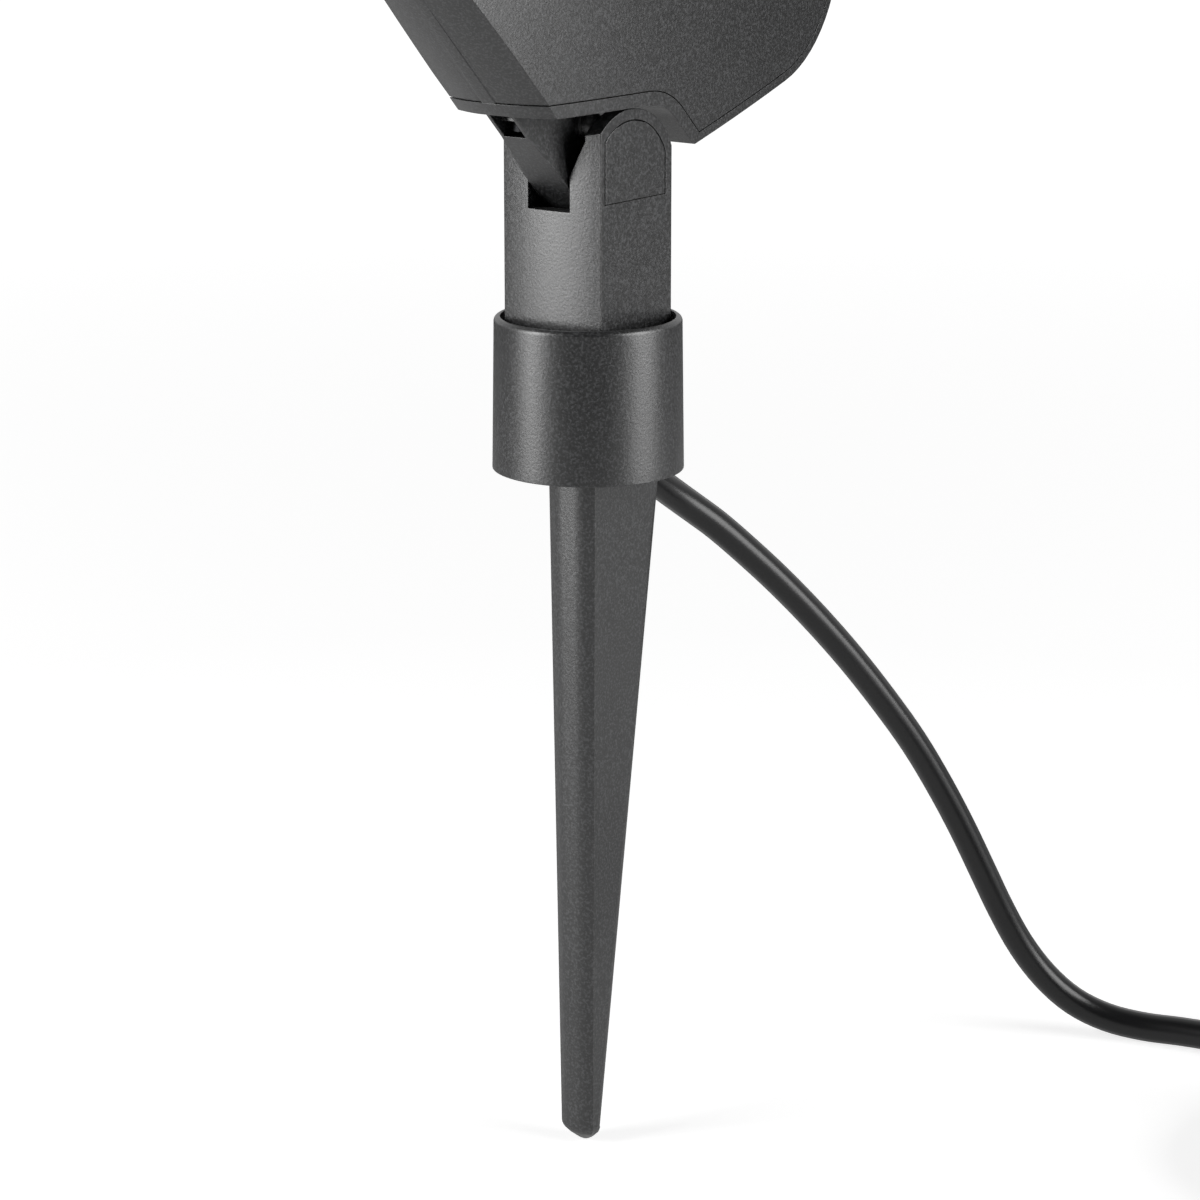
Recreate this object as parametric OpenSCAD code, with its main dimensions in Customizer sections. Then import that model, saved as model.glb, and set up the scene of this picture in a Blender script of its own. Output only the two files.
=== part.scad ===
// Garden spotlight: slim tilting head on a forked stem that turns in the collar of a ground spike.
// Millimetres. Origin at the centre of the collar's foot, which stands at ground level.
// +Z up, -Y towards the lit side, X along the tilt axis.

/* [Collar] */
// Diameter of the collar at its foot
collar_d = 45; // [44.5:0.5:50]
// Diameter of the collar at its rim
collar_rim_d = 44; // [43.5:0.5:48]
// Height of the collar
collar_h = 36; // [34:1:44]
// Bore of the collar
collar_bore_d = 41; // [40.2:0.2:42]
// Radius of the rounded rim
rim_round = 1.2; // [0.6:0.1:1.4]
// Height of the collar's web above its foot
web_z = 18; // [17.5:0.5:20]
// Thickness of the collar's web
web_t = 3.5; // [3:0.5:5]

/* [Spike] */
// Length of the spike below the collar
spike_l = 169; // [120:1:200]
// Width of the spike at its head
spike_w = 13.6; // [12.4:0.2:16]
// Width of the spike at its tip
tip_w = 9.5; // [6:0.5:10]
// Distance of the spike's nose in front of the stem's axis, at its head
nose_y = 8.1; // [8:0.1:13]
// Distance of the spike's open rear edge behind the stem's axis, at its head
spike_rear_y = 19.1; // [17:0.1:20]
// Wall of the spike's channel
spike_wall = 2.1; // [1.6:0.1:2.3]
// Thickness of the spike's head disc
disc_t = 6; // [5:0.5:7]
// Number of cross ribs in the channel
rib_count = 5; // [2:1:8]

/* [Stem] */
// Width of the stem across its two flats
stem_w = 28; // [27:0.5:28.5]
// Depth of each flat
flat_depth = 27; // [26:0.5:27.5]
// Depth of the stem over its curved front and rear
crown_depth = 30; // [29.6:0.2:31]
// Wall of the hollow stem
stem_wall = 3; // [2.5:0.25:4]
// Height of the tilt axis above the ground
pivot_z = 68.3; // [66:0.1:74]
// Distance of the tilt axis in front of the stem's middle
pivot_fwd = 2; // [1:0.5:3]
// Radius of the rounded ears
ear_r = 17; // [16.2:0.1:17.1]
// Width of the slot between the ears
slot_w = 12; // [11:0.5:13]
// Depth of the slot below the tilt axis, at the front wall
slot_drop = 6; // [5:0.2:7]
// Width of the flared slot at the ears' tops
flare_w = 20; // [19.6:0.2:20.4]
// Height over which the slot flares
flare_h = 8; // [7:0.5:8.5]

/* [Ear covers and pivot] */
// Radius of each D-shaped cover
cover_r = 14.5; // [13.5:0.1:15]
// Thickness of each D-shaped cover
ear_cover_t = 2; // [1.5:0.1:2.4]
// Seam round each cover
cover_seam = 0.15; // [0.1:0.05:0.3]
// Diameter of the pivot bolt
bolt_d = 4; // [3.5:0.1:4.2]
// Diameter of the bolt's head
bolt_head_d = 7; // [6.5:0.1:7.2]
// Thickness of each friction washer
washer_t = 0.5; // [0.4:0.1:0.8]

/* [Tilt arm] */
// Radius of the arm's hub
hub_r = 9.1; // [8.5:0.1:9.6]
// Angle of the arm's front face above the level
arm_angle = 45; // [42:1:48]
// Width of the arm at its top
arm_top_w = 8; // [7.6:0.2:9.5]
// Height of the window in the arm
window_h = 5.4; // [4.8:0.2:6]
// Diameter of the cross pin that stops the tilt
pin_d = 6.3; // [5.5:0.1:6.5]
// Length of the cross pin
pin_l = 18.8; // [17:0.2:19]

/* [Head] */
// Angle of the light beam above the level
beam_angle = 46; // [44:1:48]
// Clearance of the level underside above the ears
underside_gap = 0.4; // [0.3:0.1:1]
// Half thickness of the head in the middle of its crowned sides
head_half_t = 17.8; // [16.5:0.1:20]
// Radius of the crowned sides
side_crown_r = 560; // [450:10:700]
// Radius of the rounded lower spine, across
spine_r = 40; // [30:1:60]
// Bulge of the lower spine in front of its creases
spine_bulge = 2.5; // [1.8:0.1:3]
// Height of the front face
front_h = 94; // [90:1:98]
// Distance of the front face from the tilt axis
front_reach = 84; // [80:1:90]
// Distance of the rear edge behind the tilt axis
rear_reach = 86; // [82:1:92]
// Wall of the head's shell
shell_wall = 2.2; // [1.8:0.1:2.6]
// Thickness of the band under the head
band_t = 3.1; // [2.8:0.1:3.6]
// Thickness of the band behind and over the head
rear_band_t = 2.1; // [1.8:0.1:3]

/* [Light opening] */
// Depth of the front bezel
bezel_t = 6; // [5.6:0.2:7]
// Width of the light opening
window_w = 20; // [18:0.5:21]
// Length of the light opening
window_l = 76; // [70:1:78]
// Thickness of the lens glass
glass_t = 3; // [2.5:0.25:3.25]
// Rim of the glass under the bezel's lip, all round
glass_rim = 2; // [1.5:0.1:2.2]
// Depth of the reflector
reflector_t = 14; // [10:1:18]
// Number of light sources
led_count = 6; // [3:1:7]
// Distance between two light sources
led_pitch = 12; // [9:0.5:12]

/* [Cable] */
// Diameter of the rubber cable
cable_d = 7.5; // [6.5:0.1:7.6]
// Diameter of the inner lead
lead_d = 3; // [2.4:0.1:3.1]
// Distance between two turns of the stored coil, centre to centre
coil_step = 8.1; // [8:0.05:9]
// Height of one layer of the stored coil
layer_step = 8.05; // [8:0.05:9]
// Radius of the coil's outer turn
coil_r = 45; // [43:1:52]
// Radius of the connector's screw ring
plug_r = 8; // [7.6:0.1:9]
// Length of the connector's body
plug_l = 28; // [26:1:36]
// Depth of the socket inside the screw ring
socket_l = 8; // [6:0.5:9]

/* [Hidden] */

fine = 96;
round_fn = 48;
small_fn = 24;
eps = 0.01;
far = 200;
run_gap = 0.05;
slip_gap = 0.15;

anthracite = [0.2, 0.2, 0.21];
dark_part = [0.12, 0.12, 0.13];
rubber_black = [0.07, 0.07, 0.07];
steel = [0.7, 0.7, 0.72];
white_part = [0.9, 0.9, 0.88];

pivot_y = -pivot_fwd;
pivot = [0, pivot_y, pivot_z];
swivel_washer_t = 1;
swivel_z = web_z + web_t;
stem_foot_z = swivel_z + swivel_washer_t;
spigot_r = 9;
spigot_bore_r = lead_d/2 + 0.5;
nut_t = 3;
swivel_nut_r = 12.5;
swivel_nut_z = web_z - nut_t - run_gap;
spigot_end_z = swivel_nut_z - 0.4;
stem_floor_t = 4;
disc_r = collar_bore_d/2 - 0.2;
face_crown = (crown_depth - flat_depth)/2;
face_r = (pow(stem_w/2, 2) + pow(face_crown, 2))/(2*face_crown);
slot_floor_z = pivot_z - slot_drop;
pocket_foot_z = pivot_z - hub_r - 6.2;
hub_half = slot_w/2 - washer_t - run_gap;

// Directions of the beam: forward along the light, and up across it
beam_fwd = [-cos(beam_angle), sin(beam_angle)];
beam_up = [sin(beam_angle), cos(beam_angle)];
function beam_point(a, b) = a*beam_fwd + b*beam_up;

// Outline of the head in the plane across the tilt axis, from the tilt axis
underside = ear_r + underside_gap;
spine_b = -7.9 - spine_bulge;
top_b = spine_b + spine_bulge + front_h;
spine_corner = [(spine_b - underside*beam_up[1])/beam_up[0], underside];
arch_corner = [10.5, underside];
tail_corner = [23.4, 6.3];
tail_slope = 16;
rear_corner = [rear_reach, tail_corner[1] + tan(tail_slope)*(rear_reach - tail_corner[0])];
top_rear_corner = [rear_reach, 68];
head_corners = [spine_corner, arch_corner, tail_corner, rear_corner, top_rear_corner,
    beam_point(front_reach, top_b), beam_point(front_reach, spine_b)];
head_radii = [1.5, 17, 1.2, 33, 30, 5, 3];
// A positive turn closes the outline, a negative one is the arch over the ears
head_turns = [1, -1, 1, 1, 1, 1, 1];
flush = [0, 0, 0, 0, 0, 0, 0];
seam = [band_t, band_t, rear_band_t, rear_band_t, rear_band_t, 0, 0];
cavity = [band_t - 1, band_t - 1, rear_band_t - 1, rear_band_t - 1, rear_band_t - 1, -1,
    spine_bulge + shell_wall];
crown_centre = [15, 65];
arc_step = 6;

function unit(v) = v/norm(v);
function left_of(v) = [-v[1], v[0]];
function corner_at(i) = head_corners[(i + len(head_corners)) % len(head_corners)];
function edge_dir(i) = unit(corner_at(i + 1) - corner_at(i));
function inset_start(i, ins) = corner_at(i) + left_of(edge_dir(i))*ins[(i + len(ins)) % len(ins)];
// Corner where the two moved edges meet
function moved_corner(i, ins) =
    let (p = inset_start(i - 1, ins), d = edge_dir(i - 1), q = inset_start(i, ins), n = left_of(edge_dir(i)))
    p + d*(((q - p)*n)/(d*n));
function corner_radius(i, ins) =
    let (mean = (ins[(i - 1 + len(ins)) % len(ins)] + ins[i])/2)
    max(0.4, head_radii[i] - head_turns[i]*mean);
function fillet(c, a, b, r) =
    let (half = acos(a*b)/2, mid = c + unit(a + b)*r/sin(half), s = c + a*r/tan(half) - mid,
        e = c + b*r/tan(half) - mid, a0 = atan2(s[1], s[0]), a1 = atan2(e[1], e[0]),
        turn = ((a1 - a0 + 540) % 360) - 180, n = max(2, ceil(abs(turn)/arc_step)))
    [for (k = [0:n]) mid + r*[cos(a0 + turn*k/n), sin(a0 + turn*k/n)]];
function head_outline(ins) =
    [for (i = [0:len(head_corners) - 1])
        each fillet(moved_corner(i, ins), -edge_dir(i - 1), edge_dir(i), corner_radius(i, ins))];

// Cable, from the gland's mouth to the stored coil, then the coil's own tube
floor_z = -spike_l;
cable_z = floor_z + cable_d/2;
gland_slope = 37;
gland_mouth = [0, 15.9, -0.4];
gland_dir = [0, -cos(gland_slope), sin(gland_slope)];
cable_route = [[0, 15.9, -0.4], [0, 19.6, -3.2], [0.1, 23.3, -6], [0.6, 27.1, -8.8], [1.4, 30.7, -11.5],
    [2.6, 34.3, -14.3], [4.3, 37.9, -17.3], [7, 42.7, -21.6], [10.6, 49.2, -28.2], [15.2, 57.5, -37.2],
    [20.2, 66.5, -47.9], [25.2, 75.5, -59.6], [30, 84, -71.9], [34.3, 91.8, -84.1], [38, 98.6, -96.5],
    [41.3, 104.6, -108.7], [44.3, 110, -120.8], [47.2, 115.2, -132.5], [50.7, 120.3, -143.4],
    [55.3, 125.4, -152.6], [61.3, 130.2, -159.6], [69, 134.4, -163.7], [78, 137.9, -165.25],
    [88, 140.8, -165.25], [99, 143.1, -165.25], [111, 144.7, -165.25], [124, 145.5, -165.25],
    [138, 145.7, -165.25], [152, 145.5, -165.25], [165.5, 145.5, -165.25]];
coil_turns = 2.25;
coil_centre = [173, 100.5];
tube_sides = 8;
coil_sides = 6;
rings_per_turn = 24;

// Turns run clockwise from the rear: inwards below, up half a turn, outwards above. The end lies on top
climb_turns = 0.5;
leave_turns = 0.35;
wound_turns = 2*coil_turns + climb_turns;
coil_last = wound_turns + leave_turns;
plug_lift = layer_step + cable_d/2 + plug_r + 0.1;
plug_inset = 7;
tie_t = 0.8;
function smooth(t) = let (c = min(1, max(0, t))) c*c*(3 - 2*c);
// Share of the last stretch, which climbs on the coil to the plug
function leaving(t) = max(0, t - wound_turns)/leave_turns;
function coil_radius(t) = t > wound_turns ? coil_r - plug_inset*smooth((leaving(t) - 0.25)/0.75)
    : coil_r - coil_step*min(t, wound_turns - t);
// The turns rise a little where they pass over the tie
function coil_rise(t) = t > wound_turns ? layer_step + (plug_lift - layer_step)*sin(90*leaving(t))
    : layer_step*smooth((t - coil_turns)/climb_turns) + tie_t*pow((1 - cos(360*t))/2, 4);
function coil_point(t) = [coil_centre[0] + coil_radius(t)*sin(360*t),
    coil_centre[1] + coil_radius(t)*cos(360*t), cable_z + coil_rise(t)];
coil_steps = round(coil_last*rings_per_turn);
coil_turn_points = [for (k = [0:coil_steps]) coil_point(coil_last*k/coil_steps)];
coil_end_dir = [cos(360*coil_last), -sin(360*coil_last), 0];
coil_tube = concat([coil_turn_points[0] - [cable_d, 0, 0]], coil_turn_points,
    [coil_turn_points[coil_steps] + coil_end_dir*cable_d]);
plug_start = coil_tube[len(coil_tube) - 1];
plug_heading = atan2(coil_end_dir[1], coil_end_dir[0]);
// Least distance between stretches of the coil that are over a third of a turn apart
apart = round(rings_per_turn/3);
coil_gap = min([for (i = [0:coil_steps - apart]) for (j = [i + apart:coil_steps])
    norm(coil_turn_points[i] - coil_turn_points[j])]) - cable_d;
echo(coil_gap = coil_gap);
function path_length(p) = len(p) < 2 ? 0
    : let (steps = [for (i = [1:len(p) - 1]) norm(p[i] - p[i - 1])], ones = [for (s = steps) 1]) steps*ones;
echo(cord_length = path_length(cable_route) + path_length(coil_tube));
echo(plug_start = plug_start, plug_heading = plug_heading);

function path_dir(p, i) = unit(p[min(i + 1, len(p) - 1)] - p[max(i - 1, 0)]);
function side_dir(d) = unit(abs(d[2]) > 0.98 ? cross(d, [0, 1, 0]) : cross(d, [0, 0, 1]));
function ring(p, d, r, sides) = let (u = side_dir(d), v = cross(u, d))
    [for (k = [0:sides - 1]) p + r*(cos(360*k/sides)*u + sin(360*k/sides)*v)];

module tube_along(p, d, sides, first = undef, last = undef) {
    n = len(p);
    dirs = [for (i = [0:n - 1])
        i == 0 && !is_undef(first) ? first : i == n - 1 && !is_undef(last) ? last : path_dir(p, i)];
    points = [for (i = [0:n - 1]) each ring(p[i], dirs[i], d/2, sides)];
    caps = [[for (k = [0:sides - 1]) k], [for (k = [sides - 1:-1:0]) (n - 1)*sides + k]];
    walls = [for (i = [0:n - 2]) for (k = [0:sides - 1])
        let (a = i*sides + k, b = i*sides + (k + 1) % sides)
        each [[a, a + sides, b], [b, a + sides, b + sides]]];
    polyhedron(points, concat(caps, walls), convexity = 10);
}

module along_x(r, l) rotate([0, 90, 0]) cylinder(r = r, h = l, center = true, $fn = fine);
module at_pivot() translate(pivot) children();

// Collar and spike

module collar() {
    color(anthracite) difference() {
        union() {
            cylinder(d1 = collar_d, d2 = collar_rim_d, h = collar_h - rim_round, $fn = fine);
            translate([0, 0, collar_h - rim_round])
                cylinder(d = collar_rim_d - 2*rim_round, h = rim_round, $fn = fine);
            translate([0, 0, collar_h - rim_round]) rotate_extrude($fn = fine)
                translate([collar_rim_d/2 - rim_round, 0]) circle(r = rim_round, $fn = round_fn);
        }
        translate([0, 0, web_z + web_t]) cylinder(d = collar_bore_d, h = collar_h, $fn = fine);
        translate([0, 0, -eps]) cylinder(d = collar_bore_d, h = web_z + eps, $fn = fine);
        translate([0, 0, web_z - 1]) cylinder(r = spigot_r + run_gap, h = web_t + 2, $fn = fine);
        // Notch in the foot over the cable
        gland_axis() translate([0, 0, -12]) cylinder(d = cable_d + 2*slip_gap + 0.4, h = 14, $fn = round_fn);
    }
    color(anthracite) for (a = screw_angles) rotate(a) translate([screw_circle_r, 0, disc_t])
        difference() {
            cylinder(r = screw_r + 1.5, h = web_z - disc_t + eps, $fn = round_fn);
            translate([0, 0, -eps]) cylinder(r = screw_r + run_gap, h = web_z - disc_t, $fn = round_fn);
        }
}

screw_r = 1.5;
screw_head_r = 2.8;
screw_head_t = 2;
screw_sink = 0.4;
screw_angles = [-90, 30, 150];
screw_circle_r = 16.6;

// Front face and sloped corners of the spike's section, as shares of its width
nose_share = 0.46;
corner_share = 0.135;
module spike_section(w, front, rear, h) {
    a = w*nose_share/2;
    linear_extrude(height = h) polygon([[-w/2, rear], [-w/2, w*corner_share - front], [-a, -front],
        [a, -front], [w/2, w*corner_share - front], [w/2, rear]]);
}

// Front and rear edges of the spike near its tip
tip_front_y = 5.9;
tip_rear_y = -1.6;
nose_round = 3.2;
channel_l = spike_l - 22;
rib_thick = 1.8;
rib_setback = 2.5;
function rib_z(k) = -channel_l*k/(rib_count + 1);
function rear_y(z) = spike_rear_y + (tip_rear_y - spike_rear_y)*(-z)/spike_l;

module spike_outside() {
    hull() {
        translate([0, 0, -1]) spike_section(spike_w, nose_y, spike_rear_y, 1);
        translate([0, 0, -spike_l + nose_round]) spike_section(tip_w, tip_front_y, tip_rear_y, 1);
        translate([0, -tip_front_y + tip_w/2, -spike_l + nose_round])
            sphere(r = nose_round, $fn = small_fn);
    }
}

module spike_channel() {
    w0 = spike_w - 2*spike_wall;
    w1 = tip_w - 2*spike_wall;
    hull() {
        translate([0, 0, -1]) spike_section(w0, nose_y - spike_wall, spike_rear_y + 9, 1 + 2*eps);
        translate([0, 0, -channel_l]) spike_section(w1, tip_front_y - spike_wall, 9, 1);
    }
}

module ground_spike() {
    color(anthracite) difference() {
        union() {
            difference() {
                spike_outside();
                spike_channel();
            }
            intersection() {
                spike_outside();
                for (k = [1:rib_count]) translate([-far/2, -nose_y, rib_z(k)])
                    cube([far, nose_y + rear_y(rib_z(k)) - rib_setback, rib_thick]);
            }
            translate([0, 0, slip_gap]) cylinder(r = disc_r, h = disc_t - slip_gap, $fn = fine);
            intersection() {
                spike_section(spike_w, nose_y, spike_rear_y, 1);
                cylinder(r = disc_r, h = 1, $fn = fine);
            }
        }
        gland_axis() translate([0, 0, -4]) cylinder(r = gland_r + run_gap, h = gland_l + 12, $fn = round_fn);
        for (a = screw_angles) rotate(a) translate([screw_circle_r, 0, -eps]) {
            cylinder(r = screw_r + 0.25, h = disc_t + 1, $fn = round_fn);
            cylinder(r = screw_head_r + 0.3, h = screw_sink + screw_head_t + eps, $fn = round_fn);
        }
    }
}

gland_r = cable_d/2 + 1;
gland_l = 10;
lead_grip = 4;
// Local +Z runs from the gland's mouth up into the collar
module gland_axis() translate(gland_mouth) rotate([90 - gland_slope, 0, 0]) children();

module cable_gland() {
    color(rubber_black) gland_axis() difference() {
        cylinder(r = gland_r, h = gland_l, $fn = round_fn);
        translate([0, 0, gland_l - lead_grip]) cylinder(r = lead_d/2 + run_gap, h = lead_grip + 1, $fn = round_fn);
    }
}

module spike_screws() {
    color(steel) for (a = screw_angles) rotate(a) translate([screw_circle_r, 0, screw_sink]) {
        cylinder(r = screw_head_r, h = screw_head_t, $fn = small_fn);
        cylinder(r = screw_r, h = web_z - 1.4, $fn = small_fn);
    }
}

// Inner leads: straight out of the gland, round a bend and up the stem behind the hub

lead_bend_r = 5;
lead_bend_y = lead_bend_r*(1 - sin(gland_slope));
lead_joint_z = gland_mouth[2] + (gland_mouth[1] - lead_bend_y)*tan(gland_slope) + lead_bend_r*cos(gland_slope);
lead_joint_gap = 0.3;
base_lead_route = concat([gland_mouth + (gland_l - lead_grip)*gland_dir],
    [for (k = [0:4]) let (a = (90 - gland_slope)*(1 - k/4))
        [0, lead_bend_r*(1 - cos(a)), lead_joint_z - lead_bend_r*sin(a)]]);
module base_lead() color(rubber_black)
    tube_along(base_lead_route, lead_d, tube_sides, gland_dir, [0, 0, 1]);

lead_y = pivot_y + hub_r + lead_d/2 + 0.3;
stem_lead_route = [[0, 0, lead_joint_z + lead_joint_gap], [0, 0, 30], [0, lead_y*0.08, 37], [0, lead_y*0.45, 44],
    [0, lead_y*0.86, 50], [0, lead_y, 56], [0, lead_y, pivot_z]];
module stem_lead() color(rubber_black)
    tube_along(stem_lead_route, lead_d, tube_sides, [0, 0, 1], [0, 0, 1]);

// Stem

module stem_face(side, z0, z1) translate([0, side*(crown_depth/2 - face_r), z0])
    cylinder(r = face_r, h = z1 - z0, $fn = 2*fine);
module stem_block(z0, z1) {
    intersection() {
        translate([-stem_w/2, -far/2, z0]) cube([stem_w, far, z1 - z0]);
        stem_face(1, z0, z1);
        stem_face(-1, z0, z1);
    }
}

module stem() {
    top_z = pivot_z + ear_r;
    color(anthracite) difference() {
        union() {
            intersection() {
                stem_block(stem_foot_z, top_z);
                union() {
                    translate([-far/2, -far/2, 0]) cube([far, far, pivot_z]);
                    at_pivot() along_x(ear_r, far);
                }
            }
            translate([0, 0, spigot_end_z]) cylinder(r = spigot_r, h = stem_foot_z - spigot_end_z + 1, $fn = fine);
        }
        translate([0, 0, spigot_end_z - 1]) cylinder(r = spigot_bore_r, h = 20, $fn = round_fn);
        // Hollow of the column
        translate([-stem_w/2 + stem_wall, -flat_depth/2 + stem_wall, stem_foot_z + stem_floor_t])
            cube([stem_w - 2*stem_wall, flat_depth - 2*stem_wall, pocket_foot_z - stem_foot_z - stem_floor_t + 1]);
        // Pocket for the hub, and the slots through the front and rear walls
        translate([-slot_w/2, -flat_depth/2 + stem_wall, pocket_foot_z])
            cube([slot_w, flat_depth - 2*stem_wall, far]);
        translate([-slot_w/2, -far/2, slot_floor_z]) cube([slot_w, far/2, far]);
        translate([-slot_w/2, 0, pivot_z + rear_slot_rise]) cube([slot_w, far/2, far]);
        // Flare in which the cross pin runs
        translate([0, far/2, pivot_z + flare_rise]) rotate([90, 0, 0]) linear_extrude(height = far)
            polygon([[-slot_w/2, 0], [slot_w/2, 0], [flare_w/2, flare_h], [flare_w/2, far],
                [-flare_w/2, far], [-flare_w/2, flare_h]]);
        for (s = [-1, 1]) translate([s*(stem_w + 1 - ear_cover_t)/2, 0, 0]) ear_cover_shape(ear_cover_t + 1, 0);
        at_pivot() along_x(bolt_d/2 + slip_gap, stem_w);
        at_pivot() translate([bolt_seat_x + far/2, 0, 0]) along_x(bolt_head_d/2 + 0.3, far);
        at_pivot() translate([-bolt_seat_x, 0, 0]) rotate([0, -90, 0]) rotate(30)
            cylinder(r = nut_corner_r + 0.2, h = far, $fn = 6);
    }
}
rear_slot_rise = 4;
flare_rise = 2.4;
bolt_head_h = 2.8;
pivot_nut_h = 2.6;
bolt_seat_x = stem_w/2 - ear_cover_t - bolt_head_h - 0.3;
nut_corner_r = (bolt_head_d/2 - run_gap)/cos(30);

// Flat cover with a round top, a level foot and straight sides
cover_front_y = -12.1;
cover_rear_y = 11.2;
cover_drop = 4;
cover_foot_z = pivot_z - cover_drop;
module ear_cover_shape(t, inset) {
    intersection() {
        at_pivot() along_x(cover_r - inset, t);
        translate([-far/2, cover_front_y + inset, cover_foot_z + inset])
            cube([far, cover_rear_y - cover_front_y - 2*inset, far]);
    }
}
module ear_cover(side) color(anthracite)
    translate([side*(stem_w/2 - ear_cover_t/2 + run_gap/2), 0, 0]) ear_cover_shape(ear_cover_t - run_gap, cover_seam);
module right_ear_cover() ear_cover(1);
module left_ear_cover() ear_cover(-1);

module pivot_bolt() {
    color(steel) at_pivot() difference() {
        union() {
            translate([-pivot_nut_h/2, 0, 0]) along_x(bolt_d/2, 2*bolt_seat_x + pivot_nut_h);
            translate([bolt_seat_x + bolt_head_h/2, 0, 0]) along_x(bolt_head_d/2, bolt_head_h);
        }
        translate([bolt_seat_x + bolt_head_h - 1.6, 0, 0]) rotate([0, 90, 0]) cylinder(r = 1.75, h = 3, $fn = 6);
    }
}

module pivot_nut() {
    color(steel) at_pivot() difference() {
        translate([-bolt_seat_x, 0, 0]) rotate([0, -90, 0]) rotate(30)
            cylinder(r = nut_corner_r, h = pivot_nut_h, $fn = 6);
        along_x(bolt_d/2, far);
    }
}

module pivot_washers() {
    color(steel) at_pivot() for (s = [-1, 1])
        translate([s*(slot_w/2 - washer_t/2), 0, 0]) difference() {
            along_x(hub_r - 1.5, washer_t);
            along_x(bolt_d/2 + run_gap, stem_w);
        }
}

module swivel_washer() {
    color(dark_part) translate([0, 0, swivel_z]) difference() {
        cylinder(r = swivel_nut_r + 0.5, h = swivel_washer_t, $fn = fine);
        translate([0, 0, -1]) cylinder(r = spigot_r + run_gap, h = 3, $fn = fine);
    }
}

module swivel_nut() {
    color(steel) translate([0, 0, swivel_nut_z]) difference() {
        cylinder(r = swivel_nut_r, h = nut_t, $fn = 6);
        translate([0, 0, -1]) cylinder(r = spigot_r, h = nut_t + 2, $fn = fine);
    }
}

// Tilt arm

arm_dir = [-cos(arm_angle), sin(arm_angle)];
arm_up = [sin(arm_angle), cos(arm_angle)];
// Point on a face of the arm, at height z over the tilt axis
function arm_at(b, z) = [(b - z*arm_up[1])/arm_up[0], z];
pin_place = [-5.4, 13.4];
arm_screw_y = [-21.5, -15.5];
window_sill = underside - window_h;
window_back_y = -12.5;
window_front_y = -25.5;
roof_t = 1.8;
rib_t = 0.9;
// The arm narrows between these two heights over the tilt axis
neck_z = [2, 12];

module arm_profile() polygon([-hub_r*arm_up, arm_at(-hub_r, underside), arm_at(hub_r, underside), hub_r*arm_up]);

module tilt_arm() {
    color(anthracite) at_pivot() difference() {
        union() {
            along_x(hub_r, 2*hub_half);
            intersection() {
                rotate([90, 0, 90]) linear_extrude(height = 2*hub_half, center = true) arm_profile();
                translate([0, far/2, 0]) rotate([90, 0, 0]) linear_extrude(height = far)
                    polygon([[-hub_half, -far], [hub_half, -far], [hub_half, neck_z[0]], [arm_top_w/2, neck_z[1]],
                        [arm_top_w/2, far], [-arm_top_w/2, far], [-arm_top_w/2, neck_z[1]], [-hub_half, neck_z[0]]]);
            }
        }
        along_x(bolt_d/2 + run_gap, far);
        translate([0, pin_place[0], pin_place[1]]) along_x(pin_d/2 + run_gap, far);
        // Window: a pocket between two thin ribs, with a set-back roof for the screws
        translate([-arm_top_w/2 + rib_t, window_back_y - far, window_sill])
            cube([arm_top_w - 2*rib_t, far, window_h - roof_t]);
        translate([-arm_top_w/2 + rib_t, window_front_y - far, window_sill])
            cube([arm_top_w - 2*rib_t, far, window_h + 1]);
        for (y = arm_screw_y) translate([0, y, window_sill + 1])
            cylinder(r = screw_r + 0.1, h = far, $fn = round_fn);
    }
}

module stop_pin() {
    r = pin_d/2;
    end_x = pin_l/2 - r;
    color(anthracite) at_pivot() translate([0, pin_place[0], pin_place[1]]) difference() {
        union() {
            along_x(r, 2*end_x);
            for (s = [-1, 1]) translate([s*end_x, 0, 0]) sphere(r = r, $fn = round_fn);
        }
        for (s = [-1, 1]) translate([s*(end_x - 0.4), 0, 0]) difference() {
            along_x(r + 1, 0.6);
            along_x(r - 0.3, 1);
        }
    }
}

module arm_screws() {
    color(steel) at_pivot() for (y = arm_screw_y) translate([0, y, 0]) {
        translate([0, 0, underside - roof_t - arm_screw_head_t])
            cylinder(r = arm_screw_head_r, h = arm_screw_head_t, $fn = round_fn);
        translate([0, 0, underside - roof_t - eps])
            cylinder(r = screw_r, h = roof_t + band_t + plate_t, $fn = round_fn);
    }
}
arm_screw_head_r = 2.7;
arm_screw_head_t = 2.4;

plate_w = 16;
plate_t = 3;
module arm_plate() {
    color(steel) at_pivot() difference() {
        translate([-plate_w/2, window_front_y, underside + band_t]) cube([plate_w, 15, plate_t]);
        for (y = arm_screw_y) translate([0, y, 0]) cylinder(r = screw_r, h = far, $fn = round_fn);
    }
}

// Lead through the underside, behind the arm
head_lead_y = 3.5;
lead_seal_r = lead_d/2 + 1.8;
module lead_seal() {
    color(rubber_black) at_pivot() translate([0, head_lead_y, underside - 1]) difference() {
        union() {
            cylinder(r = lead_seal_r, h = band_t + 2.6, $fn = round_fn);
            translate([0, 0, band_t + 1]) cylinder(r = lead_seal_r + 1.1, h = 1.6, $fn = round_fn);
        }
        translate([0, 0, -1]) cylinder(r = lead_d/2, h = far, $fn = round_fn);
    }
}
module head_lead() {
    color(rubber_black) at_pivot() tube_along([[0, head_lead_y, underside - 2.5], [0, head_lead_y, underside + 4],
        [0, head_lead_y, underside + 9], [-1, head_lead_y + 1, underside + 13],
        [-2, head_lead_y + 2.5, underside + 16], [-2, head_lead_y + 4.5, underside + 18.5]], lead_d - 2*eps, tube_sides, [0, 0, 1], [0, 1, 0]);
}

// Head

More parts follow.
